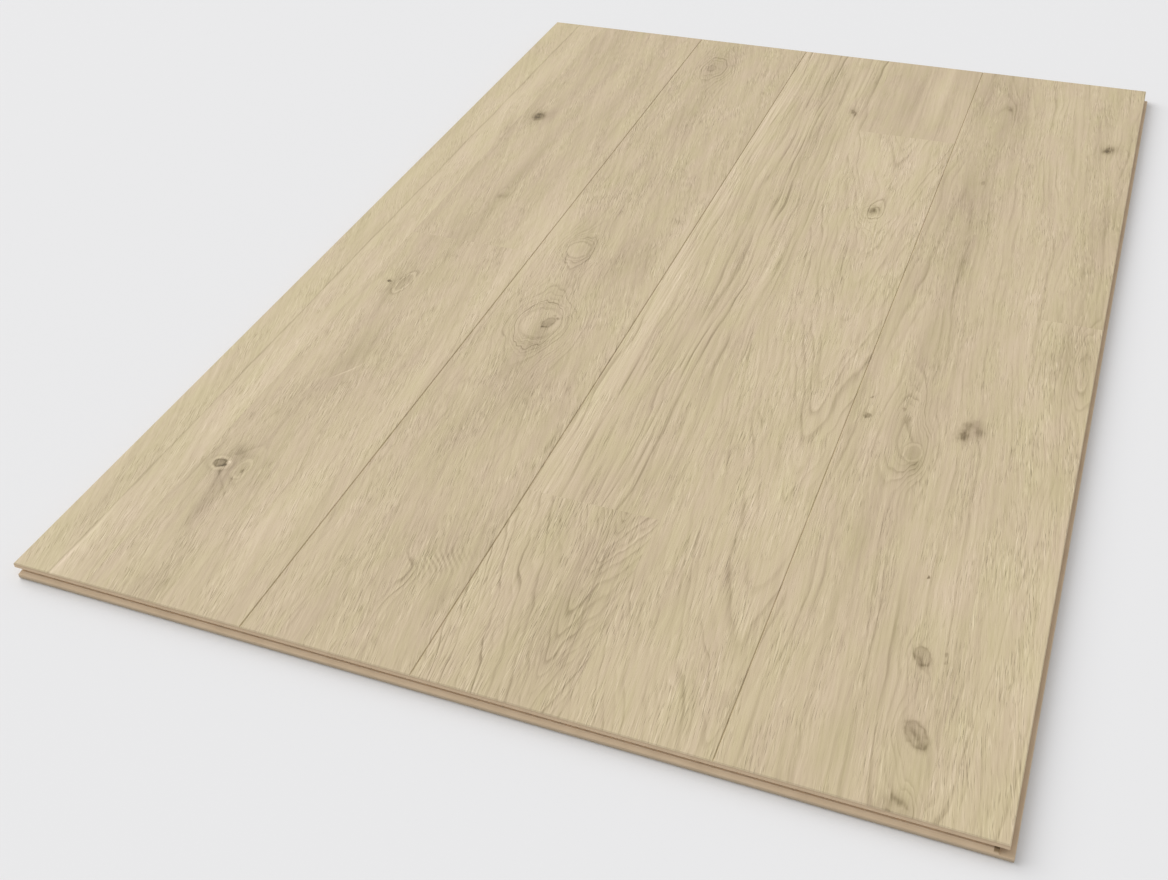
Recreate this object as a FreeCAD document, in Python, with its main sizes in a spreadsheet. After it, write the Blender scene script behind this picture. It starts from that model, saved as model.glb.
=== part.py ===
"""A wide oak-faced floorboard, milled from one flat blank, in millimetres.

The face is flat, with three shallow seams that mark it off into four wide planks. Each of the four
edges has its own milled profile. The right long edge has a groove over a projecting lower lip. The left
long edge is undercut and seats that lip. The near short edge has a slot over a sloping nose, and the far
short edge is rebated to pass over that nose.

Z is up and the board lies on Z = 0. Y runs along the planks. The origin is at the bottom, in the
middle of the board's overall size.
"""

import FreeCAD, Part
import math
import os

import Sketcher

SIZES = {
    "face_width": 840.0,  # across the planks, over the two top edges
    "face_length": 1240.0,  # along the planks, over the two top edges
    "thickness": 14.0,
    "first_plank": 228.0,  # plank widths from the left edge, and the fourth takes the rest
    "second_plank": 155.0,
    "third_plank": 246.0,
    "bevel": 0.8,  # width and depth of the eased top edges, and a seam is two of them
    "top_lip": 4.9,  # what stays above every groove, undercut, slot and rebate
    "lower_lip": 4.4,  # height of the lower lip, and of each nose's upright front
    "ease": 0.8,  # rounding and bevel on the outer corners of lips and noses
    "groove_depth": 6.5,  # right edge, in from the top edge
    "lip_reach": 4.2,  # right edge, lower lip out past the top edge
    "lip_gap": 0.2,  # play between that lip and its seat on the next board
    "undercut_depth": 6.0,  # left edge, in under the top lip
    "slot_depth": 4.5,  # near edge, in under the top lip
    "slot_height": 2.5,  # near and left edges, between the top lip and the nose
    "nose_reach": 3.0,  # near edge, nose out past the top edge
    "rebate_depth": 9.0,  # far edge, in under the top lip
}

# Places that the profiles share, worked out from the sizes
LEFT = "-sizes.face_width / 2"
RIGHT = "sizes.face_width / 2"
NEAR = "-sizes.face_length / 2"
FAR = "sizes.face_length / 2"
FACE = "sizes.thickness"
SHOULDER = "sizes.thickness - sizes.bevel"
LIP_UNDERSIDE = "sizes.thickness - sizes.top_lip"
NOSE_TOP = f"{LIP_UNDERSIDE} - sizes.slot_height"

# The blank is larger by a thickness on every side, and the cutters run out past it
SPARE = "sizes.thickness"
ABOVE = "sizes.thickness * 2"
CLEAR = "sizes.thickness * 2"
UNDER = "-sizes.ease"

TOLERANCE = 1e-4

doc = FreeCAD.newDocument("floorboard_model")


def fill_sheet():
    """Write the driving sizes into the sheet, one named row each."""
    sheet = doc.addObject("Spreadsheet::Sheet", "sizes")
    for row, (name, size) in enumerate(SIZES.items(), start=1):
        sheet.set(f"A{row}", name)
        sheet.set(f"B{row}", str(size))
        sheet.setAlias(f"B{row}", name)
    doc.recompute()


def sketch_on(body, name, role):
    """Start a sketch on one of the body's own origin planes."""
    plane = next(item for item in body.Origin.OriginFeatures if item.Role == role)
    sketch = body.newObject("Sketcher::SketchObject", name)
    sketch.AttachmentSupport = (plane, [""])
    sketch.MapMode = "FlatFace"
    doc.recompute()
    return sketch


def pin(sketch, geometry, point, across, up):
    """Hold a point at two expressions, measured from the sketch's origin."""
    for kind, expression in (("DistanceX", across), ("DistanceY", up)):
        value = float(sketch.evalExpression(expression))
        index = sketch.addConstraint(Sketcher.Constraint(kind, -1, 1, geometry, point, value))
        sketch.setExpression(f"Constraints[{index}]", expression)


def round_corner(sketch, before, after, corner):
    """Join two lines by a tangent arc. Both lines aim at a pinned construction point."""
    across, up, rounding = corner
    radius = float(sketch.evalExpression(rounding))
    enter = sketch.Geometry[before].EndPoint
    leave = sketch.Geometry[after].StartPoint
    aim = FreeCAD.Vector(*(float(sketch.evalExpression(text)) for text in (across, up)), 0)
    middle = (enter + leave) / 2
    rise = radius - math.sqrt(radius**2 - (leave - enter).Length ** 2 / 4)
    top = middle + (aim - middle).normalize() * rise
    turns_left = (aim - enter).cross(leave - aim).z > 0
    first, last = (enter, leave) if turns_left else (leave, enter)
    near_end, far_end = (1, 2) if turns_left else (2, 1)
    curve = sketch.addGeometry(Part.Arc(first, top, last), False)
    target = sketch.addGeometry(Part.Point(aim), True)
    pin(sketch, target, 1, across, up)
    sketch.addConstraint(Sketcher.Constraint("PointOnObject", target, 1, before))
    sketch.addConstraint(Sketcher.Constraint("PointOnObject", target, 1, after))
    sketch.addConstraint(Sketcher.Constraint("Tangent", before, 2, curve, near_end))
    sketch.addConstraint(Sketcher.Constraint("Tangent", curve, far_end, after, 1))
    held = sketch.addConstraint(Sketcher.Constraint("Radius", curve, radius))
    sketch.setExpression(f"Constraints[{held}]", rounding)


def draw_outline(sketch, corners):
    """Draw a closed outline. A corner is its two coordinates, and a radius where it is rounded."""
    count = len(corners)
    spots = [
        FreeCAD.Vector(*(float(sketch.evalExpression(text)) for text in corner[:2]), 0)
        for corner in corners
    ]
    setbacks = []
    for index, corner in enumerate(corners):
        arriving = spots[index] - spots[index - 1]
        leaving = spots[(index + 1) % count] - spots[index]
        radius = float(sketch.evalExpression(corner[2])) if len(corner) > 2 else 0.0
        setbacks.append(radius * math.tan(arriving.getAngle(leaving) / 2))
    lines = []
    for index in range(count):
        start, end = spots[index], spots[(index + 1) % count]
        along = (end - start).normalize()
        first = start + along * setbacks[index]
        last = end - along * setbacks[(index + 1) % count]
        lines.append(sketch.addGeometry(Part.LineSegment(first, last), False))
    for index, corner in enumerate(corners):
        before, after = lines[index - 1], lines[index]
        if len(corner) > 2:
            round_corner(sketch, before, after, corner)
        else:
            sketch.addConstraint(Sketcher.Constraint("Coincident", before, 2, after, 1))
            pin(sketch, after, 1, *corner)


def mill(body, name, role, outlines):
    """Run cutters of the given outlines right across the blank, and check that they cut."""
    before = body.Shape.Volume
    sketch = sketch_on(body, f"{name}_profile", role)
    for corners in outlines:
        draw_outline(sketch, corners)
    doc.recompute()
    pocket = body.newObject("PartDesign::Pocket", name)
    pocket.Profile = sketch
    pocket.Type = "ThroughAll"
    pocket.SideType = "Symmetric"
    doc.recompute()
    removed = before - body.Shape.Volume
    if removed <= 0:
        raise RuntimeError(f"{name} cut nothing")
    print(f"{name}: {removed:.1f} mm3 milled away")
    return removed


def cut_blank(body):
    """The flat blank, with spare material all round for the edge cutters."""
    sketch = sketch_on(body, "blank_outline", "XY_Plane")
    left, right = f"{LEFT} - {SPARE}", f"{RIGHT} + sizes.lip_reach + {SPARE}"
    near, far = f"{NEAR} - sizes.nose_reach - {SPARE}", f"{FAR} + {SPARE}"
    draw_outline(sketch, [(left, near), (right, near), (right, far), (left, far)])
    blank = body.newObject("PartDesign::Pad", "blank")
    blank.Profile = sketch
    blank.setExpression("Length", "sizes.thickness")
    doc.recompute()


def mill_right_edge(body):
    """A groove under the top lip, over a lower lip that runs out past it."""
    bevel_start = f"{RIGHT} - sizes.bevel"
    groove_back = f"{RIGHT} - sizes.groove_depth"
    tip = f"{RIGHT} + sizes.lip_reach"
    outside = f"{tip} + {CLEAR}"
    corners = [
        (bevel_start, ABOVE),
        (bevel_start, FACE),
        (RIGHT, SHOULDER),
        (RIGHT, LIP_UNDERSIDE),
        (groove_back, LIP_UNDERSIDE),
        (groove_back, "sizes.lower_lip"),
        (tip, "sizes.lower_lip", "sizes.ease"),
        (tip, "sizes.ease"),
        (f"{tip} - sizes.ease * 2", UNDER),
        (outside, UNDER),
        (outside, ABOVE),
    ]
    mill(body, "right_edge", "XZ_Plane", [corners])


def mill_left_edge(body):
    """An undercut under the top lip, over a nose set back to seat the next board's lower lip."""
    bevel_start = f"{LEFT} + sizes.bevel"
    undercut_back = f"{LEFT} + sizes.undercut_depth"
    front = f"{LEFT} + sizes.lip_reach + sizes.lip_gap"
    outside = f"{LEFT} - {CLEAR}"
    corners = [
        (bevel_start, ABOVE),
        (bevel_start, FACE),
        (LEFT, SHOULDER),
        (LEFT, LIP_UNDERSIDE),
        (undercut_back, LIP_UNDERSIDE),
        (undercut_back, NOSE_TOP),
        (front, "sizes.lower_lip", "sizes.ease"),
        (front, "sizes.ease"),
        (f"{front} + sizes.ease * 2", UNDER),
        (outside, UNDER),
        (outside, ABOVE),
    ]
    mill(body, "left_edge", "XZ_Plane", [corners])


def mill_near_edge(body):
    """A slot under the top lip, over a nose that slopes out past it."""
    bevel_start = f"{NEAR} + sizes.bevel"
    slot_back = f"{NEAR} + sizes.slot_depth"
    front = f"{NEAR} - sizes.nose_reach"
    outside = f"{front} - {CLEAR}"
    corners = [
        (bevel_start, ABOVE),
        (bevel_start, FACE),
        (NEAR, SHOULDER),
        (NEAR, LIP_UNDERSIDE),
        (slot_back, LIP_UNDERSIDE),
        (slot_back, NOSE_TOP),
        (NEAR, NOSE_TOP),
        (front, "sizes.lower_lip", "sizes.ease"),
        (front, "sizes.ease"),
        (f"{front} + sizes.ease * 2", UNDER),
        (outside, UNDER),
        (outside, ABOVE),
    ]
    mill(body, "near_edge", "YZ_Plane", [corners])


def mill_far_edge(body):
    """A rebate under the top lip, deep enough to pass over the next board's nose."""
    bevel_start = f"{FAR} - sizes.bevel"
    rebate_back = f"{FAR} - sizes.rebate_depth"
    outside = f"{FAR} + {CLEAR}"
    corners = [
        (bevel_start, ABOVE),
        (bevel_start, FACE),
        (FAR, SHOULDER),
        (FAR, LIP_UNDERSIDE),
        (rebate_back, LIP_UNDERSIDE, "sizes.ease"),
        (rebate_back, "sizes.ease"),
        (f"{rebate_back} - sizes.ease * 2", UNDER),
        (outside, UNDER),
        (outside, ABOVE),
    ]
    mill(body, "far_edge", "YZ_Plane", [corners])


def mill_seams(body):
    """Three shallow V cuts along the face, between the four planks."""
    widths = ("sizes.first_plank", "sizes.second_plank", "sizes.third_plank")
    outlines = []
    seam = LEFT
    for width in widths:
        seam = f"{seam} + {width}"
        left_top = (f"{seam} - sizes.bevel * 2", f"{FACE} + sizes.bevel")
        right_top = (f"{seam} + sizes.bevel * 2", f"{FACE} + sizes.bevel")
        outlines.append([left_top, (seam, SHOULDER), right_top])
    mill(body, "seams", "XZ_Plane", outlines)


def check_model(body):
    """Stop if any object failed, or if the board is not one sound solid of the sizes in the sheet."""
    for item in doc.Objects:
        if "Invalid" in item.State or "Error" in item.State:
            raise RuntimeError(f"{item.Label} failed: {item.State}")
    shape = body.Shape
    if shape.isNull() or not shape.isValid() or len(shape.Solids) != 1:
        raise RuntimeError(f"{body.Label} is not one sound solid")
    box = shape.BoundBox
    wanted = {
        "width": (box.XLength, SIZES["face_width"] + SIZES["lip_reach"]),
        "length": (box.YLength, SIZES["face_length"] + SIZES["nose_reach"]),
        "height": (box.ZLength, SIZES["thickness"]),
    }
    for name, (found, expected) in wanted.items():
        if abs(found - expected) > TOLERANCE:
            raise RuntimeError(f"{name} is {found:.4f} mm and should be {expected:.4f} mm")
        print(f"{name}: {found:.2f} mm")
    print(f"volume: {shape.Volume:.0f} mm3, {len(shape.Faces)} faces")


def make_floorboard():
    """Mill the board from its blank: the four edges first, then the seams."""
    body = doc.addObject("PartDesign::Body", "floorboard")
    body.Label = "floorboard"
    body.setExpression(".Placement.Base.x", "-sizes.lip_reach / 2")
    body.setExpression(".Placement.Base.y", "sizes.nose_reach / 2")
    cut_blank(body)
    mill_near_edge(body)
    mill_far_edge(body)
    mill_left_edge(body)
    mill_right_edge(body)
    mill_seams(body)
    return body


fill_sheet()
floorboard = make_floorboard()
doc.recompute()
check_model(floorboard)
os.makedirs("parts", exist_ok=True)
floorboard.Shape.exportStep(f"parts/{floorboard.Label}.step")
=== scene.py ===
# %% [markdown]
# # A wide plank floorboard
# The board lies on the floor with its oak face up. Three fine seams split the face into
# four planks, and each of the four edges has a milled profile that hooks into the next
# board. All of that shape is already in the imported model, so this lesson is about wood:
# how growth rings, knots, pores, brushing and milling are built from nodes.

# %% Load the board
import math

import bpy
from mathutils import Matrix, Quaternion, Vector


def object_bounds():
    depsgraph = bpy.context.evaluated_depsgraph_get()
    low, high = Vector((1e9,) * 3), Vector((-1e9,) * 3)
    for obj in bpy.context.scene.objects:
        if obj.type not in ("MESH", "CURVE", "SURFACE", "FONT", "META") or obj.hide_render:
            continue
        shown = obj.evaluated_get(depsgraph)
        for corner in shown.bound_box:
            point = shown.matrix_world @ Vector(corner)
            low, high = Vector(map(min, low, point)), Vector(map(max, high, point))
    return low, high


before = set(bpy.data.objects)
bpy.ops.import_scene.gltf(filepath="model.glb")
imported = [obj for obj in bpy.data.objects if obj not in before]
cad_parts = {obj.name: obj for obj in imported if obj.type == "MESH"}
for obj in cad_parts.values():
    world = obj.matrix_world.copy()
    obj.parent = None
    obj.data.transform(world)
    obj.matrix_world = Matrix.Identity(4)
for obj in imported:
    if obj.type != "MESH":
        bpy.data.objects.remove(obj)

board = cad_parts["floorboard"]
cad_low, cad_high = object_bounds()
print("board", [round(1000 * size, 2) for size in cad_high - cad_low], "mm")

# %% [markdown]
# ## Where the face begins
# Wood is thought of in millimetres, so the face gets a rule of its own: zero at its near
# left corner, x across the planks and y along them. The corner, the size of the face and
# the places where the planks start could be typed in, but they are read from the model, so
# the wood always changes exactly at a seam.

# %% Find the face and its seams
MM = 0.001
face_height = cad_high.z / MM
face_points = [v.co / MM for v in board.data.vertices if v.co.z > cad_high.z - 0.01 * MM]
crossings = sorted({round(p.x, 1) for p in face_points})
face_left = crossings[0]
face_near = min(p.y for p in face_points)
face_wide = crossings[-1] - face_left
face_long = max(p.y for p in face_points) - face_near
# A seam is a V with two upper edges, and the next plank starts at the second of them.
plank_starts = [edge - face_left for edge in crossings[2:-1:2]]
second_plank, third_plank, fourth_plank = plank_starts
print("face", round(face_wide, 1), "x", round(face_long, 1), "mm")
print("planks start", [round(start, 1) for start in plank_starts], "mm from the left")

# %% [markdown]
# ## The camera
# The board is seen from its near right corner, looking down at it by about 39 degrees. A
# camera can be turned by three angles, but a place, a point to aim at and a small roll are
# easier to understand and to correct.

# %% Set up the camera
CAMERA_PLACE = Vector((0.3814, -1.2373, 0.8268))
CAMERA_AIM = Vector((-0.0170, -0.3021, 0.0140))
CAMERA_ROLL = math.radians(-2.702)

camera = bpy.data.objects.new("camera", bpy.data.cameras.new("camera"))
bpy.context.scene.collection.objects.link(camera)
bpy.context.scene.camera = camera
camera.data.lens = 42.83
camera.data.sensor_width = 36.0
camera.data.sensor_fit = "HORIZONTAL"
camera.rotation_mode = "QUATERNION"
line_of_sight = CAMERA_AIM - CAMERA_PLACE
camera.location = CAMERA_PLACE
camera.rotation_quaternion = (
    line_of_sight.to_track_quat("-Z", "Y") @ Quaternion((0, 0, 1), CAMERA_ROLL))
down = math.degrees(math.asin(-line_of_sight.normalized().z))
print("camera looks down by", round(down, 1), "degrees")

# %% [markdown]
# ## Formulas as nodes
# A wood pattern is a formula over the surface. Placing hundreds of nodes one by one hides
# that formula, so a small class lets plain arithmetic make them: adding two fields adds a
# Math node, and the result is a field again.

# %% A field is a number that varies over the surface
tree = None


def node(kind, **settings):
    """Adds a node to the tree that is being built, and sets its options."""
    made = tree.nodes.new(kind)
    for name, value in settings.items():
        setattr(made, name, value)
    return made


def feed(value, socket):
    """Connects a field to a socket, or types a plain number or colour into it."""
    if isinstance(value, Field):
        tree.links.new(value.socket, socket)
    else:
        socket.default_value = value


def calc(operation, *values):
    """One Math node."""
    made = node("ShaderNodeMath", operation=operation)
    for value, socket in zip(values, made.inputs):
        feed(value, socket)
    return Field(made.outputs[0])


class Field:
    """One output of a node, which adds and multiplies like a number."""

    def __init__(self, socket):
        self.socket = socket

    def __add__(self, other):
        return calc("ADD", self, other)

    def __sub__(self, other):
        return calc("SUBTRACT", self, other)

    def __rsub__(self, other):
        return calc("SUBTRACT", other, self)

    def __mul__(self, other):
        return calc("MULTIPLY", self, other)

    def __truediv__(self, other):
        return calc("DIVIDE", self, other)

    __radd__ = __add__
    __rmul__ = __mul__


# %% [markdown]
# A few more helpers read like shop talk: a fade from nothing to full between two values,
# a step at an edge, and noise, which is the irregularity that everything grown needs.

# %% Fades, steps and noise
def fade(value, start, end, low=0.0, high=1.0):
    """Rises smoothly from low at start to high at end, and stays there."""
    made = node("ShaderNodeMapRange", interpolation_type="SMOOTHSTEP")
    for number, name in ((value, "Value"), (start, "From Min"), (end, "From Max"),
                         (low, "To Min"), (high, "To Max")):
        feed(number, made.inputs[name])
    return Field(made.outputs["Result"])


def past(value, edge):
    """1 past the edge and 0 before it."""
    return calc("GREATER_THAN", value, edge)


def place(x, y, z=0.0):
    """Joins three numbers into one place."""
    made = node("ShaderNodeCombineXYZ")
    for value, socket in zip((x, y, z), made.inputs):
        feed(value, socket)
    return Field(made.outputs[0])


def noise(where, detail=2.0, rough=0.5, depth=False):
    """Soft noise about zero, from about -1 to 1, with one feature each unit."""
    made = node("ShaderNodeTexNoise", noise_dimensions="3D" if depth else "2D")
    feed(where, made.inputs["Vector"])
    made.inputs["Scale"].default_value = 1.0
    made.inputs["Detail"].default_value = detail
    made.inputs["Roughness"].default_value = rough
    return Field(made.outputs[0]) * 2.0 - 1.0


# %% [markdown]
# ## The floor and the light
# The board lies on a pale, plain floor in soft light: one broad lamp far off on the left
# and a little behind, and an even sky that fills the shadows. Their strengths add up to
# about one, the level at which a colour renders as it was written. A lamp that is near
# would make one side of the floor brighter, so this one is a sun with a wide, soft disc.

# %% Colours as a colour picker shows them
def paint(red, green, blue):
    """A colour given as 0 to 255, as a colour for Blender, which counts light evenly."""
    def even(value):
        value = value / 255.0
        return value / 12.92 if value <= 0.04045 else ((value + 0.055) / 1.055) ** 2.4
    return (even(red), even(green), even(blue), 1.0)


FLOOR_COLOUR = paint(233, 233, 234)

# %% The floor
FLOOR_REACH = 30.0
floor_mesh = bpy.data.meshes.new("floor")
floor_mesh.from_pydata(
    [(-FLOOR_REACH, -FLOOR_REACH, 0), (FLOOR_REACH, -FLOOR_REACH, 0),
     (FLOOR_REACH, FLOOR_REACH, 0), (-FLOOR_REACH, FLOOR_REACH, 0)], [], [(0, 1, 2, 3)])
floor = bpy.data.objects.new("floor", floor_mesh)
bpy.context.scene.collection.objects.link(floor)
floor_finish = bpy.data.materials.new("floor_finish")
floor_finish.use_nodes = True
floor_shader = floor_finish.node_tree.nodes["Principled BSDF"]
floor_shader.inputs["Base Color"].default_value = FLOOR_COLOUR
floor_shader.inputs["Roughness"].default_value = 0.9
floor_shader.inputs["Specular IOR Level"].default_value = 0.1
floor_mesh.materials.append(floor_finish)
print("floor", floor.name, "is stage, not part of the board")

# %% The sky, and what the camera sees past the floor
SKY_STRENGTH = 0.62
sky = bpy.data.worlds.new("sky")
bpy.context.scene.world = sky
sky.use_nodes = True
tree = sky.node_tree
tree.nodes.clear()
ray = node("ShaderNodeLightPath")
seen = calc("MAXIMUM", Field(ray.outputs["Is Camera Ray"]),
            calc("MAXIMUM", Field(ray.outputs["Is Glossy Ray"]),
                 Field(ray.outputs["Is Transmission Ray"])))
light = node("ShaderNodeBackground")
light.inputs["Color"].default_value = (1.0, 1.0, 1.0, 1.0)
light.inputs["Strength"].default_value = SKY_STRENGTH
view = node("ShaderNodeBackground")
view.inputs["Color"].default_value = FLOOR_COLOUR
view.inputs["Strength"].default_value = 1.0
chosen = node("ShaderNodeMixShader")
feed(seen, chosen.inputs[0])
tree.links.new(light.outputs[0], chosen.inputs[1])
tree.links.new(view.outputs[0], chosen.inputs[2])
out = node("ShaderNodeOutputWorld")
tree.links.new(chosen.outputs[0], out.inputs[0])

# %% The lamp
LAMP_FROM = Vector((-1.0, 0.42, 0.80))
LAMP_SHARE = 1.0 - SKY_STRENGTH
lamp = bpy.data.objects.new("lamp", bpy.data.lights.new("lamp", "SUN"))
bpy.context.scene.collection.objects.link(lamp)
lamp.data.angle = math.radians(48)
lamp.data.energy = LAMP_SHARE * math.pi / LAMP_FROM.normalized().z
lamp.rotation_mode = "QUATERNION"
lamp.rotation_quaternion = (-LAMP_FROM).to_track_quat("-Z", "Y")
print("lamp", round(lamp.data.energy, 2), "and sky", SKY_STRENGTH)

# %% [markdown]
# ## The wood's own coordinates
# Wood is built in the board's own space, so the pattern never slides over it. Object
# coordinates give metres from the middle of the board. They become millimetres from the
# near left corner of the face.

# %% Start the oak
oak = bpy.data.materials.new("oak")
oak.use_nodes = True
tree = oak.node_tree
tree.nodes.clear()

coordinates = node("ShaderNodeTexCoord")
parts = node("ShaderNodeSeparateXYZ")
tree.links.new(coordinates.outputs["Object"], parts.inputs[0])
x = Field(parts.outputs[0]) / MM - face_left
y = Field(parts.outputs[1]) / MM - face_near
z = Field(parts.outputs[2]) / MM

# %% [markdown]
# ## Staves
# Each wide plank of the face is laid up from sawn staves, glued edge to edge and end to
# end, and a stave is what decides how the wood looks. A stave cut near the heart of the
# log shows pointed arches, because the saw meets each ring at a slant. One cut far from
# it shows straight lines. So every stave says where its heart line runs, how its rings
# lean along the board, how far apart and how strong they are, how dark and how yellow the
# whole stave is, and how its fibres run. Places and sizes are in millimetres.

# %% The list of staves, from left to right and from near to far
STAVES = []
THIRD_PLANK_JOINT = 233


def stave(name, left, near, heart, round_off, lean, slope, gap, rings, tone, straw,
          slant, fuzz, reach, wander):
    """left, near: where it starts. heart: the x of its heart line, which slopes by slope.
    round_off, lean: how blunt its arches are, and how fast they climb. gap, rings: between
    rings, and their strength. tone, straw: how dark and how yellow it is. slant, fuzz,
    reach, wander: how the fibres lie, how strong and long they are, and how they swerve."""
    STAVES.append(dict(
        name=name, left=left, near=near, heart=heart, round_off=round_off, lean=lean,
        slope=slope, gap=gap, rings=rings, tone=tone, straw=straw, slant=slant, fuzz=fuzz,
        reach=reach, wander=wander))


stave("edge", 0, 0, -160, 20, 0.02, 0.00, 6.0, 0.12, -0.030, 0.30, 0.30, 0.78, 12, 1.3)
stave("pale", 36, 0, -120, 20, -0.02, 0.00, 7.0, 0.15, -0.045, 0.05, 0.18, 0.80, 16, 1.1)
stave("knotted", 74, 0, 128, 9, 0.06, 0.02, 7.0, 0.30, 0.010, -0.05, 0.20, 0.95, 15, 1.4)
stave("dark", 74, 613, 150, 12, -0.05, 0.02, 8.0, 0.22, 0.020, -0.10, 0.21, 0.80, 14, 1.0)
stave("ringed", second_plank, 0, 292, 10, 0.03, 0.02, 6.0, 0.30, 0.015, -0.05, 0.19, 1.10, 18, 1.2)
stave("arched", third_plank, 0, 478, 6, -0.22, 0.00, 4.6, 1.15, 0.010, 0.00, 0.07, 1.20, 36, 0.5)
stave("striped", third_plank, THIRD_PLANK_JOINT,
      900, 6, 0.00, 0.030, 9.0, 1.35, -0.010, 0.00, 0.07, 0.90, 60, 0.4)
stave("pointed", 508, 0, 620, 6, -0.17, 0.054, 7.5, 0.75, -0.030, 0.00, 0.08, 1.15, 36, 0.5)
stave("plain", 508, 1017, 420, 6, 0.05, 0.02, 9.0, 0.25, 0.015, -0.20, 0.05, 0.50, 30, 0.6)
stave("spotted", fourth_plank, 0, 681, 12, 0.05, 0.02, 8.0, 0.50, -0.006, -0.05, 0.07, 0.95, 22, 0.8)
stave("shaded", 779, 0, 950, 10, 0.10, 0.06, 6.0, 0.60, -0.045, 0.10, 0.10, 1.40, 24, 0.7)
stave("far_edge", 779, 651, 930, 10, 0.06, 0.04, 6.5, 0.55, 0.010, 0.05, 0.08, 1.05, 24, 0.7)
print(len(STAVES), "staves")

# %% [markdown]
# The nodes have to know on which stave they are. Counting the edges to the left gives the
# stave's number, and a joint counts once more beyond it. The number then picks each
# property from a ramp with hard steps, one step for each stave.

# %% Number the staves over the face
FAR_AWAY = 2000
number = 0.0
for here, before in zip(STAVES[1:], STAVES):
    if here["left"] != before["left"]:
        number = past(x, here["left"]) + number
    else:
        beyond = [s["left"] for s in STAVES if s["left"] > here["left"]][:1] or [FAR_AWAY]
        inside = past(x, here["left"]) - past(x, beyond[0])
        # A strip without its far stave still has to count it, so that the next ones agree.
        number = past(y, here["near"]) * inside + past(x, beyond[0]) + number


def ramp(value, stops, steps=False):
    """Turns a number into another by a bent line through stops, both from 0 to 1.

    The number is kept in the ramp's alpha, because alpha comes out as a plain number. A
    colour would have to be converted, and so many conversions are too much for the renderer.
    """
    made = node("ShaderNodeValToRGB")
    made.color_ramp.interpolation = "CONSTANT" if steps else "LINEAR"
    elements = made.color_ramp.elements
    elements[1].position = stops[-1][0]
    for position, _ in stops[1:-1]:
        elements.new(position)
    for element, (_, height) in zip(elements, stops):
        element.alpha = height
    feed(value, made.inputs[0])
    return Field(made.outputs["Alpha"])


def pick(what):
    """A field that holds that property of the stave it is on."""
    values = [s[what] for s in STAVES]
    low = min(values)
    span = max(values) - low
    stops = [(index / len(values), (value - low) / span) for index, value in enumerate(values)]
    return ramp((number + 0.5) / len(values), stops, steps=True) * span + low


heart_line, round_off, lean, slope = pick("heart"), pick("round_off"), pick("lean"), pick("slope")
gap, rings, tone, straw = pick("gap"), pick("rings"), pick("tone"), pick("straw")
slant, fuzz, reach, wander = pick("slant"), pick("fuzz"), pick("reach"), pick("wander")
print(len(tree.nodes), "nodes so far")

# %% [markdown]
# ## How the trunk grew
# Think of the height of a hill: contour lines on it are growth rings, cut by the saw. The
# hill here is the distance from the heart line, rounded off at the top, with a lean along
# the board that turns its contours into arches. Three noises, slow to quick, make it bend,
# sway and waver, because no trunk is straight.

# %% How far the rings stray, in millimetres
BEND_ACROSS, BEND_ALONG = 9.0, 60.0
SWAY = 5.0
WAVER_ACROSS, WAVER_ALONG = 1.4, 10.0

# %% The hill of growth
# Each stave and each layer takes its noise from another place, so that none looks alike.
STAVE_STEP, LAYER_STEP = 37.7, 11.3


def face_noise(across, along, wide, tall, layer, detail=2.0, rough=0.5):
    """Noise on the face with features that wide and tall, different on every stave."""
    return noise(place(across / wide + number * STAVE_STEP + layer * LAYER_STEP, along / tall),
                 detail, rough)


bend_across = face_noise(x, y, 60, 260, 1, 1.0)
bend_along = face_noise(x, y, 75, 330, 2, 1.0)
sway = face_noise(x, y, 32, 120, 20, 1.0)
waver_across = face_noise(x, y, 14, 55, 3, 1.0)
waver_along = face_noise(x, y, 10, 40, 4, 1.0)
grown_x = (x + y * slope + bend_across * BEND_ACROSS + sway * SWAY
           + waver_across * WAVER_ACROSS)
grown_y = y + bend_along * BEND_ALONG + waver_along * WAVER_ALONG
aside = grown_x - heart_line
growth = calc("SQRT", aside * aside + round_off * round_off) + lean * grown_y
print(len(tree.nodes), "nodes with the hill")

# %% [markdown]
# ## Swirls
# Where a branch left the trunk the rings run round it. On the hill of growth it is a
# smaller, steeper hill or pit of its own: its contours close into rings and push the
# others aside. On a heart line it has to be a pit, because there the growth already rises
# on both sides. Some swirls are calm in the middle, where the saw ran along the branch.

# %% The list of swirls
SWIRLS = []


def swirl(x, y, wide, tall, lift, strong, calm=0.0):
    """wide, tall: how far it reaches. lift: millimetres of growth, below zero for a pit.
    strong: how much stronger the rings are there. calm: the part without rings."""
    SWIRLS.append((x, y, wide, tall, lift, strong, calm))


swirl(99, 939, 18, 36, -14, 0.5, 0.50)
swirl(140, 724, 12, 26, -10, 0.5, 0.50)
swirl(97, 176, 14, 22, -12, 0.6, 0.60)
swirl(120, 174, 12, 26, -14, 0.7, 0.62)
swirl(280, 1150, 26, 44, -28, 1.2, 0.35)
swirl(273, 634, 22, 36, -30, 1.6, 0.70)
swirl(290, 484, 36, 47, -66, 2.6, 0.70)
swirl(330, 106, 17, 30, -13, 1.8)
swirl(569, 817, 13, 28, -24, 0.9, 0.50)
swirl(681, 1090, 12, 70, -20, 1.0)
swirl(695, 396, 18, 40, -44, 0.9, 0.50)
swirl(682, 450, 13, 44, -32, 0.9)
swirl(741, 444, 15, 24, 10, 0.3, 0.80)
swirl(747, 150, 13, 20, 12, 0.5, 0.70)
swirl(757, 73, 16, 24, 14, 0.5, 0.70)
swirl(766, -4, 17, 24, -22, 1.6, 0.40)
swirl(826, 570, 12, 66, -30, 1.4)
print(len(SWIRLS), "swirls")

# %% Raise the small hills
def ground(across, along):
    """A place with its two parts kept beside it, so that an ellipse on it can lean."""
    return across, along, place(across, along)


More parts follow.
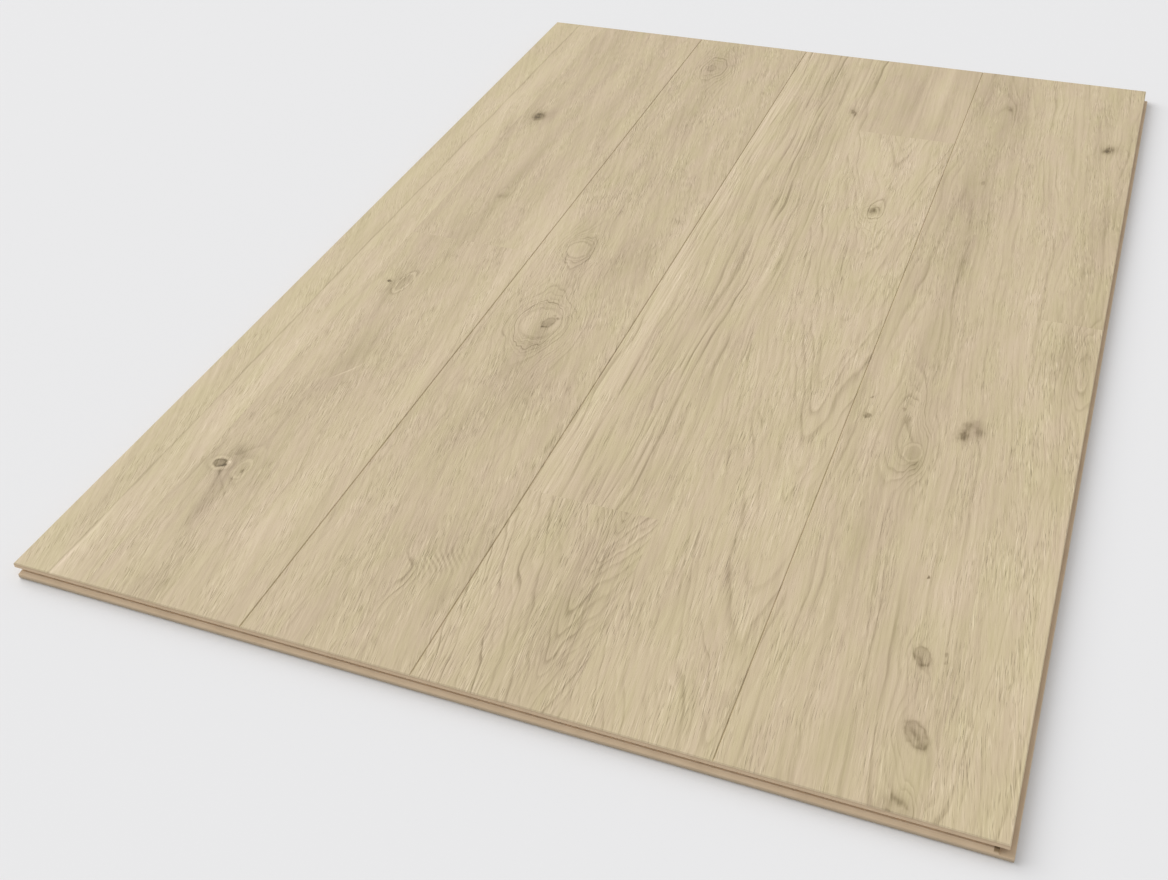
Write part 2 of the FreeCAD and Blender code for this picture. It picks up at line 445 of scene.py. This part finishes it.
def distance_squared(on, x, y, wide, tall, lean=0.0):
    """How far the ground lies from x, y, squared and counted in ellipses of that size."""
    across, along, where = on
    if lean:
        where = place(add_times(along, lean, across), along)
        x = x + y * lean
    inside = node("ShaderNodeVectorMath", operation="MULTIPLY_ADD")
    feed(where, inside.inputs[0])
    inside.inputs[1].default_value = (1.0 / wide, 1.0 / tall, 0.0)
    inside.inputs[2].default_value = (-x / wide, -y / tall, 0.0)
    square = node("ShaderNodeVectorMath", operation="DOT_PRODUCT")
    tree.links.new(inside.outputs[0], square.inputs[0])
    tree.links.new(inside.outputs[0], square.inputs[1])
    return Field(square.outputs["Value"])


def bell(away):
    """1 at the middle, falling away smoothly."""
    return calc("POWER", 1.0 / math.e, away)


def add_times(value, factor, total):
    """total + value * factor in one node."""
    return calc("MULTIPLY_ADD", value, factor, total)


wavering = ground(x + waver_across * 2.6, y + waver_along * 9.0)
swirled = 0.0
for sx, sy, wide, tall, lift, strong, calm in SWIRLS:
    away = distance_squared(wavering, sx, sy, wide, tall)
    swell = bell(away)
    growth = add_times(swell, lift, growth)
    rings = add_times(swell, strong, rings)
    swirled = swell + swirled
    if calm:
        rings = rings * fade(away, calm ** 2 * 0.6, calm ** 2)
print(len(tree.nodes), "nodes with swirls")

# %% [markdown]
# ## Light and dark along the grain
# A board is never one tone. Long soft clouds run along the grain, darker where the log was
# stained by minerals and about the knots, paler where the wood is dense. Thin dark streaks
# are split or gummed fibres, and the glue lines between staves are thin and straight.
# Noise alone would put them anywhere, so the ones that give this board its look are listed
# one by one.

# %% The list of clouds
CLOUDS = []


def cloud(x, y, wide, tall, dark):
    """A soft long patch. dark is how much darker it makes the wood, below zero paler."""
    CLOUDS.append((x, y, wide, tall, dark, 0.0))


cloud(52, 960, 11, 230, -0.058)
cloud(20, 720, 10, 190, -0.033)
cloud(58, 330, 10, 150, -0.025)
cloud(103, 1150, 16, 110, 0.074)
cloud(125, 1010, 12, 80, 0.041)
cloud(72, 900, 7, 34, 0.083)
cloud(139, 770, 9, 90, 0.091)
cloud(128, 612, 17, 80, 0.074)
cloud(108, 518, 13, 36, 0.100)
cloud(107, 190, 7, 8, 0.200)
cloud(130, 372, 17, 80, 0.075)
cloud(127, 362, 7, 13, 0.060)
cloud(140, 330, 6, 14, 0.050)
cloud(104, 285, 11, 40, 0.049)
cloud(104, 178, 13, 30, 0.140)
cloud(113, 122, 9, 38, 0.150)
cloud(128, 12, 20, 34, 0.090)
cloud(222, 1090, 5, 210, -0.066)
cloud(216, 650, 26, 125, -0.105)
cloud(216, 430, 9, 150, -0.074)
cloud(184, 130, 20, 90, -0.090)
cloud(268, 1172, 17, 60, 0.116)
cloud(284, 985, 16, 110, 0.066)
cloud(298, 770, 13, 60, 0.041)
cloud(284, 655, 13, 80, 0.099)
cloud(336, 640, 18, 60, 0.083)
cloud(300, 440, 10, 34, 0.116)
cloud(277, 484, 8, 15, -0.045)
cloud(312, 370, 22, 60, 0.074)
cloud(300, 250, 14, 110, 0.033)
cloud(346, 130, 30, 40, 0.060)
cloud(318, 160, 8, 16, 0.070)
cloud(371, 78, 9, 20, 0.080)
cloud(352, 1120, 6, 90, -0.066)
cloud(372, 650, 8, 220, -0.058)
cloud(400, 480, 9, 260, -0.020)
cloud(437, 1180, 7, 90, 0.083)
cloud(456, 975, 9, 120, 0.075)
cloud(480, 1130, 6, 50, -0.083)
cloud(484, 640, 6, 70, -0.066)
cloud(468, 130, 34, 90, 0.085)
cloud(397, 120, 10, 120, -0.066)
cloud(547, 1130, 14, 100, 0.083)
cloud(585, 1150, 12, 90, -0.070)
cloud(535, 930, 28, 70, -0.018)
cloud(582, 940, 22, 60, -0.018)
cloud(598, 760, 9, 170, -0.083)
cloud(592, 330, 12, 90, -0.049)
cloud(570, 745, 16, 50, -0.049)
cloud(655, 1190, 30, 90, 0.124)
cloud(683, 1120, 12, 60, 0.099)
cloud(668, 930, 32, 150, 0.095)
cloud(684, 730, 22, 120, 0.099)
cloud(690, 560, 15, 80, 0.066)
cloud(699, 388, 9, 40, 0.148)
cloud(690, 270, 22, 90, 0.058)
cloud(742, 1150, 24, 80, -0.041)
cloud(762, 5, 11, 11, 0.100)
cloud(765, 640, 26, 140, -0.058)
cloud(760, 215, 18, 60, -0.099)
cloud(818, 840, 14, 90, 0.116)
cloud(812, 590, 24, 75, 0.132)
cloud(822, 400, 12, 80, 0.049)
print(len(CLOUDS), "clouds")

# %% The list of streaks
STREAKS = []


def streak(x, y, wide, tall, dark, turn=0.0):
    """A thin line of dark or pale fibres, or beside one seam a painted highlight, turned by some
    degrees.
    """
    STREAKS.append((x, y, wide, tall, dark, math.tan(math.radians(turn))))


streak(36, 620, 1.1, 2500, 0.20)
streak(39.2, 20, 1.6, 60, -0.24)
streak(508, 60, 0.9, 150, 0.10)
streak(440, 1093, 1.6, 84, 0.060, 7.5)
streak(461, 992, 1.6, 50, 0.060, 6)
streak(484, 1098, 1.7, 34, 0.130, 10)
streak(446, 1190, 1.8, 22, 0.100, 12)
# Painted highlight: a pale line just right of the third plank's seam, where its edge faces the lamp.
streak(386.4, 800, 0.8, 420, -0.100)
streak(464, 883, 1.6, 112, 0.055)
streak(488, 780, 1.5, 50, 0.078, 11)
streak(494, 820, 1.3, 84, 0.054, 1.5)
streak(496, 694, 1.6, 64, 0.102, 1)
streak(491, 648, 1.4, 36, 0.072, -8)
streak(486.5, 515, 2.0, 84, 0.072, -3)
streak(485, 408, 2.2, 42, 0.084)
streak(494, 324, 1.7, 53, 0.096)
streak(463, 420, 1.5, 112, 0.060, 5.5)
streak(475, 308, 1.5, 59, 0.066, 7)
streak(505, 270, 3.0, 39, 0.060)
streak(575, 568, 1.4, 42, 0.048, 2)
streak(586, 425, 1.4, 105, 0.054, 5)
streak(660, 895, 1.7, 25, 0.060)
streak(827, 580, 1.8, 39, 0.066)
streak(818, 405, 1.6, 70, 0.048, 3)
streak(119, 265, 1.6, 38, 0.09)
streak(116, 146, 1.4, 17, 0.09, 40)
streak(136.5, 342, 1.3, 13, -0.26, -31)
streak(134, 340, 1.3, 13, 0.10, -31)
streak(104, 492, 2.6, 22, 0.09, 4)
print(len(STREAKS), "streaks")

# %% Add them up
drifting = ground(x + bend_across * BEND_ACROSS + waver_across * 3.0, y + bend_along * 30.0)
nearly_straight = ground(x + waver_across * 1.6, y)
clouds = 0.0
for on, patches in ((drifting, CLOUDS), (nearly_straight, STREAKS)):
    for cx, cy, wide, tall, amount, lean_over in patches:
        away = distance_squared(on, cx, cy, wide, tall, lean_over)
        clouds = add_times(bell(away), amount, clouds)
columns = face_noise(x, y, 20.0, 420.0, 5, 1.0)
mottle = face_noise(x, y, 38.0, 110.0, 6, 2.0)
print(len(tree.nodes), "nodes with clouds and streaks")

# %% [markdown]
# ## Hearts of knots
# The heart of a knot is the branch itself: dark hard wood, seen end on. Each kind has its
# own profile from the middle outwards. A tight one is dark with a soft shade about it, and
# a pin is a dot. A bare one has lost its bark and shows a pale rim. An island is only a pale
# outline, a disc is grey with a dark rim, and an oval is pale inside a few fine rings. Each
# profile is a ramp over the squared distance, drawn once in a group that the knots share.

# %% Profiles of the kinds, as pairs of distance in radii and darkness
PROFILE_REACH = 3.0
# The darkness that leaves the wood as it is: less makes it paler and more darker.
PLAIN = 0.3
PROFILES = {
    "tight": ((0.0, 1.0), (0.5, 0.95), (0.85, 0.72), (1.2, 0.50), (1.7, 0.38), (2.6, 0.31)),
    "pin": ((0.0, 1.0), (0.7, 0.9), (1.2, 0.34)),
    "bare": ((0.0, 0.75), (0.6, 0.85), (0.85, 1.0), (1.02, 0.60), (1.22, 0.12), (1.5, 0.24),
             (1.8, 0.44), (2.4, 0.31)),
    "island": ((0.0, 0.48), (0.75, 0.50), (0.92, 0.05), (1.04, 0.08), (1.18, 0.62), (1.4, 0.30)),
    "disc": ((0.0, 0.70), (0.70, 0.75), (0.92, 1.0), (1.12, 0.45), (1.35, 0.30)),
    "oval": ((0.0, 0.20), (0.70, 0.05), (0.82, 0.12), (0.96, 0.90), (1.08, 0.28),
             (1.18, 0.22), (1.30, 0.70), (1.42, 0.25), (1.56, 0.50), (1.70, 0.30)),
}


def profile_group(kind):
    """Draws the profile of that kind in a small group of nodes."""
    global tree
    group = bpy.data.node_groups.new("profile_" + kind, "ShaderNodeTree")
    group.interface.new_socket("away", in_out="INPUT", socket_type="NodeSocketFloat")
    group.interface.new_socket("shade", in_out="OUTPUT", socket_type="NodeSocketFloat")
    whole, tree = tree, group
    entry, end = node("NodeGroupInput"), node("NodeGroupOutput")
    stops = [((radii / PROFILE_REACH) ** 2, shade) for radii, shade in PROFILES[kind]]
    feed(ramp(Field(entry.outputs[0]), stops + [(1.0, PLAIN)]), end.inputs[0])
    tree = whole
    return group


GROUPS = {kind: profile_group(kind) for kind in PROFILES}
print(len(GROUPS), "profiles")

# %% The list of hearts
HEARTS = []


def heart(x, y, kind, wide, tall, dark, turn=0.0):
    """wide, tall: the radii. dark: how dark, or below zero how pale."""
    HEARTS.append((x, y, kind, wide, tall, dark, math.tan(math.radians(turn))))


heart(98, 936, "tight", 8.6, 13.0, 0.43)
heart(95.5, 929, "pin", 5.5, 7.0, 0.09)
heart(137, 722, "tight", 4.0, 6.0, 0.16)
heart(144, 723, "tight", 3.5, 6.0, 0.13)
heart(98, 509, "pin", 2.8, 2.2, 0.38, 20)
heart(115.5, 511, "island", 6.4, 21.0, 0.30, -4)
heart(95.5, 175, "bare", 7.2, 6.2, 0.38)
heart(102.5, 178, "pin", 2.6, 2.8, -0.34)
heart(105, 157, "tight", 4.0, 11.0, 0.10, 24)
heart(120, 174, "island", 6.4, 13.0, 0.17, 0)
heart(121.5, 171, "pin", 1.6, 3.4, 0.20)
heart(270.5, 1146, "disc", 6.5, 10.0, 0.15)
heart(273, 634, "oval", 13.5, 19.0, 0.17)
heart(289.5, 484, "oval", 22.0, 30.0, 0.11)
heart(296, 470, "tight", 6.0, 14.0, 0.14)
heart(297, 487, "disc", 6.2, 10.0, 0.30, -8)
heart(304, 497, "pin", 2.0, 2.6, 0.30)
heart(299, 501, "pin", 1.6, 2.0, 0.20)
heart(489, 1066, "tight", 3.8, 9.0, 0.36, 20)
heart(568, 821, "tight", 5.0, 8.0, 0.40)
heart(566, 817, "island", 8.5, 13.0, 0.12)
heart(645, 437, "pin", 3.8, 4.2, 0.40)
heart(643.5, 466, "pin", 1.6, 2.0, 0.30)
heart(676, 457, "pin", 1.8, 2.8, 0.22)
heart(684, 443, "pin", 1.6, 4.0, 0.12)
heart(696, 395, "island", 8.0, 13.0, 0.18)
heart(702, 377, "tight", 3.5, 8.0, 0.10)
heart(679.5, 1133, "tight", 3.4, 10.0, 0.16)
heart(677, 925, "pin", 2.4, 5.0, 0.18)
heart(735, 434, "tight", 5.4, 8.6, 0.42)
heart(748, 443, "tight", 5.0, 8.0, 0.25)
heart(737, 451, "tight", 5.2, 8.0, 0.22)
heart(744, 455, "tight", 5.2, 7.0, 0.16)
heart(739.5, 238.6, "pin", 1.2, 2.7, 0.55)
heart(751, 150, "disc", 6.8, 10.5, 0.25, 10)
heart(748, 147, "tight", 3.4, 4.6, 0.10, 30)
heart(753, 141, "tight", 3.8, 4.2, 0.12)
heart(768, 158.5, "pin", 1.2, 2.6, 0.24)
heart(769, 150.5, "pin", 1.2, 2.4, 0.22)
heart(761.5, 72, "disc", 8.6, 13.5, 0.28, 20)
heart(760, 72, "tight", 2.2, 7.0, 0.16, 22)
heart(765, 66, "pin", 1.4, 7.0, 0.12, 12)
heart(757, 10, "tight", 7.0, 6.0, 0.18, 10)
heart(809, 1054, "tight", 7.4, 11.0, 0.40, -10)
heart(806, 1051, "pin", 3.0, 4.0, 0.12)
print(len(HEARTS), "hearts")

# %% Darken the hearts
jagged_across = face_noise(x, y, 5.0, 7.0, 7, 1.0)
jagged_along = face_noise(x, y, 5.0, 7.0, 8, 1.0)
jagged = ground(x + jagged_across * 1.3, y + jagged_along * 2.0)
knots = 0.0
for hx, hy, kind, wide, tall, amount, lean_over in HEARTS:
    profile = node("ShaderNodeGroup", node_tree=GROUPS[kind])
    reach_across, reach_along = wide * PROFILE_REACH, tall * PROFILE_REACH
    feed(distance_squared(jagged, hx, hy, reach_across, reach_along, lean_over), profile.inputs[0])
    knots = add_times(Field(profile.outputs[0]), amount / (1.0 - PLAIN), knots)
plain_share = sum(amount for *_, amount, _ in HEARTS) * PLAIN / (1.0 - PLAIN)
knots = (knots - plain_share) * (1.0 + jagged_across * 0.35)
print(len(tree.nodes), "nodes with hearts")

# %% [markdown]
# ## Growth rings
# Oak starts each ring in spring with a row of open pores, a dark line that fades into
# dense summer wood, and just before the next line the wood is palest. So a ring is not a
# wave: it rises fast and falls slowly. Some years are strong and some hardly show. The third
# plank has a combed band beside its seam, where brushing has made them fainter.

# %% One year, as pairs of its time and darkness
YEAR = ((0.00, 0.45), (0.07, 1.00), (0.20, 0.85), (0.36, 0.42), (0.60, 0.30), (0.90, 0.12),
        (1.00, 0.45))

# %% Rings
ring_place = growth / gap + face_noise(growth, y, 30.0, 500.0, 9, 1.0) * 1.2
year = calc("FLOOR", ring_place)
season_tone = ramp(calc("FRACT", ring_place), YEAR)
luck = node("ShaderNodeTexWhiteNoise", noise_dimensions="2D")
feed(place(year, number), luck.inputs["Vector"])
strong_year = Field(luck.outputs["Value"])
come_and_go = calc("MAXIMUM", face_noise(growth, y, 7.0, 110.0, 10, 1.0) * 1.5 + 0.65, 0.05)
BAND_FULL, BAND_END = 15.0, 27.0
from_seam = x - third_plank
band = fade(from_seam, BAND_END, BAND_FULL) * past(from_seam, 0.0) * past(y, THIRD_PLANK_JOINT)
ring_line = ((season_tone - PLAIN) * (0.2 + strong_year * 0.9) * come_and_go * rings
             * (1.0 - band * 0.3))
print(len(tree.nodes), "nodes with rings")

# %% [markdown]
# ## Fibres and pores
# Between the rings run the fibres: long fine lines, nearly straight, that don't follow the
# arches, because the saw cuts across those. Pores are short dark dashes and rays are short
# pale ones. Brushing works some patches more than others, so the fibres come and go too,
# and the combed band has furrows of its own, very straight and dense. Beside a swirl the
# colour of the fibres is calmer. Their relief stays, because a bump works its height out
# three times and so wants a short formula.

# %% How wide and how long they are, in millimetres
FIBRE_WIDE = 1.6
BROAD_FIBRE = 4.5, 260.0
PORE = 1.4, 15.0
RAY = 1.8, 19.0
COMB = 2.1, 300.0

# %% Fibres, pores and rays
swerve = face_noise(x, y, 16.0, 26.0, 17, 1.0)
run = x + y * slant + bend_across * 5.0 + swerve * wander
brushed = fade(face_noise(x, y, 22.0, 80.0, 11, 1.0), -0.40, 0.45, 0.30, 1.35) * fuzz
calmed = brushed * fade(swirled, 0.2, 1.0, 1.0, 0.45)
fibre = noise(place(run / FIBRE_WIDE + number * 9.7, y / reach), 1.0, 0.5)
broad_fibre = face_noise(run, y, *BROAD_FIBRE, 13, 2.0, 0.6)
pores = fade(face_noise(run, y, *PORE, 14, 1.0), 0.10, 0.65)
rays = fade(face_noise(run, y, *RAY, 15, 1.0), 0.10, 0.65)
combed = band * (face_noise(x, y, *COMB, 16, 1.0) - 0.25)
print(len(tree.nodes), "nodes with fibres")

# %% [markdown]
# Beside a branch the wood is squeezed and folds. Under the saw the folds show as a few
# close lines, bent like an S. They are a plain wave across the fold, pushed to and fro
# along it, and they fade out around one spot in the second plank.

# %% Ripples
RIPPLE_X, RIPPLE_Y = 350.0, 124.0
RIPPLE_WIDE, RIPPLE_TALL = 17.0, 24.0
RIPPLE_GAP = 4.7
# The folds are turned by about 25 degrees: these are the cosine and the sine.
TURN_COS, TURN_SIN = 0.90, 0.43
across_fold = (x - RIPPLE_X) * TURN_COS + (y - RIPPLE_Y) * TURN_SIN
along_fold = (y - RIPPLE_Y) * TURN_COS - (x - RIPPLE_X) * TURN_SIN
pushed = across_fold + calc("SINE", along_fold / 8.0) * 2.6 + waver_across * 1.5
ripple = (calc("SINE", pushed * (2.0 * math.pi / RIPPLE_GAP))
          * bell(distance_squared(wavering, RIPPLE_X, RIPPLE_Y, RIPPLE_WIDE, RIPPLE_TALL)))
print(len(tree.nodes), "nodes with ripples")

# %% [markdown]
# ## The colour of the face
# All of it adds up to one number, how dark the wood is at that spot, and a ramp turns it
# into colour: pale cream where it is densest, brown in the spring lines, nearly black in a
# knot. Mixing many colours by hand would drift away from oak. Two ramps, one a little
# rosier and one more like straw, mix in patches, because oak is never of one hue.

# %% How dark the wood is
MIDDLE = 0.37
DARKEST_GRAIN = 0.66
grown = tone + clouds + columns * 0.07 + mottle * 0.05 + ring_line * 0.36 + ripple * 0.11
fine = ((fibre * 0.12 + pores * 0.07 - rays * 0.10) * calmed + broad_fibre * 0.12
        + combed * 0.24)
dark = calc("MINIMUM", grown + fine + MIDDLE, DARKEST_GRAIN) + knots

# %% From darkness to colour
def colour_ramp(value, stops):
    """Turns a number into colour. stops are (value, colour), from low to high."""
    made = node("ShaderNodeValToRGB")
    elements = made.color_ramp.elements
    for _ in stops[2:]:
        elements.new(0.5)
    for element, (position, colour) in zip(elements, stops):
        element.position = position
        element.color = colour
    feed(value, made.inputs[0])
    return Field(made.outputs[0])


def mixed(amount, first, second):
    """first where amount is 0 and second where it is 1."""
    made = node("ShaderNodeMix", data_type="RGBA")
    feed(amount, made.inputs[0])
    feed(first, made.inputs[6])
    feed(second, made.inputs[7])
    return Field(made.outputs[2])


rosy = colour_ramp(dark, (
    (0.00, paint(231, 212, 185)),
    (0.36, paint(203, 184, 155)),
    (0.62, paint(174, 155, 128)),
    (0.80, paint(130, 113, 86)),
    (1.00, paint(62, 51, 35)),
))
strawy = colour_ramp(dark, (
    (0.00, paint(228, 213, 178)),
    (0.36, paint(200, 185, 148)),
    (0.62, paint(171, 156, 121)),
    (0.80, paint(127, 112, 81)),
    (1.00, paint(59, 49, 32)),
))
hue = (0.45 + straw + face_noise(x, y, 24.0, 70.0, 18, 1.0) * 0.7
       + face_noise(run, y, 3.0, 40.0, 19, 1.0) * 0.4)
face_colour = mixed(hue, rosy, strawy)
print(len(tree.nodes), "nodes with colours")

# %% [markdown]
# ## Seams and bevels
# A seam is two bevels that meet, and stain gathers in it and makes it a little darker. The
# bevels round the face are the same cut, painted paler as painted light along the rim.

# %% Darker seams and paler rims
RIM = 2.0
below_face = face_height - z
bevel = fade(below_face, 0.02, 0.20)
inside = past(x, RIM) * past(face_wide - RIM, x) * past(y, RIM) * past(face_long - RIM, y)
seamed = mixed(bevel * inside * 0.10, face_colour, paint(120, 100, 76))
# Painted light: the outer bevels round the face are painted paler, as light along the rim.
rims_painted_light = mixed(bevel * (1.0 - inside) * 0.18, seamed, paint(236, 214, 182))

# %% [markdown]
# ## Milled edges
# Cutters leave the edges bare: no stain and no lacquer, just tan wood with the fine lines
# of the fibres. The underside is the same wood, and there the fibres are seen lengthwise.

# %% Edge wood
underside = past(0.05, z)
edge_fibre = noise(place(x / 45.0, y / 45.0, z / 0.55), 2.0, 0.6, depth=True)
edge_cloud = noise(place(x / 18.0, y / 18.0), 1.0)
under_fibre = underside * (broad_fibre * 0.35 + fibre * 0.20)
edge_colour = colour_ramp(0.5 + edge_fibre * 0.22 + edge_cloud * 0.12 + under_fibre, (
    (0.0, paint(184, 160, 130)),
    (0.5, paint(217, 193, 162)),
    (1.0, paint(236, 214, 186)),
))

# %% [markdown]
# The profile isn't one even tan. Stain has run down over the top lip. The slot under it is
# painted paler, as painted light in its shade, and the groove of the right edge is painted
# darkest, as painted shade deep inside it. The foot is painted greyer and darker towards the
# floor, as painted shade where the edge meets it. Each is a band between two heights, and
# the face's own colour ends where its bevels end.

# %% Heights in the profile, in millimetres above the floor
LIP_UNDERSIDE = 9.2
SLOT_FLOOR = 6.4
GROOVE_DARK, GROOVE_FLOOR = 6.0, 4.6
FOOT_TOP, FOOT = 4.9, 1.2

# %% Shades of the profile
in_slot = past(LIP_UNDERSIDE, z) * past(z, SLOT_FLOOR)
# Painted light: the slot is painted paler, standing in for light in the shade under the lip.
slot_painted_light = mixed(in_slot * 0.3, edge_colour, paint(244, 226, 200))
stained_lip = mixed(fade(below_face, 3.0, 1.2) * 0.40, slot_painted_light, paint(180, 156, 125))
groove_mouth, groove_inside, groove_back = face_wide - 0.8, face_wide - 3.4, face_wide - 9.4
# Painted shade: the right edge's groove is painted dark brown, as shade deep inside it.
groove_shade_mask = (past(x, groove_back) * fade(x, groove_mouth, groove_inside)
             * past(LIP_UNDERSIDE, z) * fade(z, GROOVE_FLOOR, GROOVE_DARK))
groove_painted_shade = mixed(groove_shade_mask * 0.8, stained_lip, paint(120, 94, 58))
# Painted shade: the foot is painted greyer and darker towards the floor, less so underneath, as
# shade where the edge meets the floor.
foot_shade_mask = fade(z, FOOT_TOP, FOOT) * 0.85 - underside * 0.40
foot_painted_shade = mixed(foot_shade_mask, groove_painted_shade, paint(176, 161, 139))
bare = fade(below_face, 0.75, 0.95)
wood_colour = mixed(bare, rims_painted_light, foot_painted_shade)
print(len(tree.nodes), "nodes with edges")

# %% [markdown]
# ## Sheen and relief
# The face has a matt lacquer that shines a little less in the open pores. Brushing leaves
# the pores and fibres as real, shallow furrows. A bump shows them without a million
# triangles, because they are only hundredths of a millimetre deep.

# %% Put the oak together
MATT = 0.58
FURROW_DEPTH = 0.20 * MM
shader = node("ShaderNodeBsdfPrincipled")
feed(wood_colour, shader.inputs["Base Color"])
feed(MATT + pores * 0.12 + bare * 0.15 + fibre * 0.04, shader.inputs["Roughness"])
shader.inputs["Specular IOR Level"].default_value = 0.25
furrows = node("ShaderNodeBump")
furrows.inputs["Strength"].default_value = 1.0
furrows.inputs["Distance"].default_value = FURROW_DEPTH
relief = (rays * 0.6 - pores + fibre * 0.5) * brushed * (1.0 - bare) + edge_fibre * bare * 0.6
feed(relief, furrows.inputs["Height"])
tree.links.new(furrows.outputs[0], shader.inputs["Normal"])
output = node("ShaderNodeOutputMaterial")
tree.links.new(shader.outputs[0], output.inputs["Surface"])
print(len(tree.nodes), "nodes in the oak")

# %% Give the board its finish
for slot in board.material_slots:
    slot.material = oak
print("finish", oak.name, "on", board.name)

# %% [markdown]
# ## Finish
# The view transform is Standard, so a colour shows as it is given.

# %% Set the view
bpy.context.scene.view_settings.view_transform = "Standard"
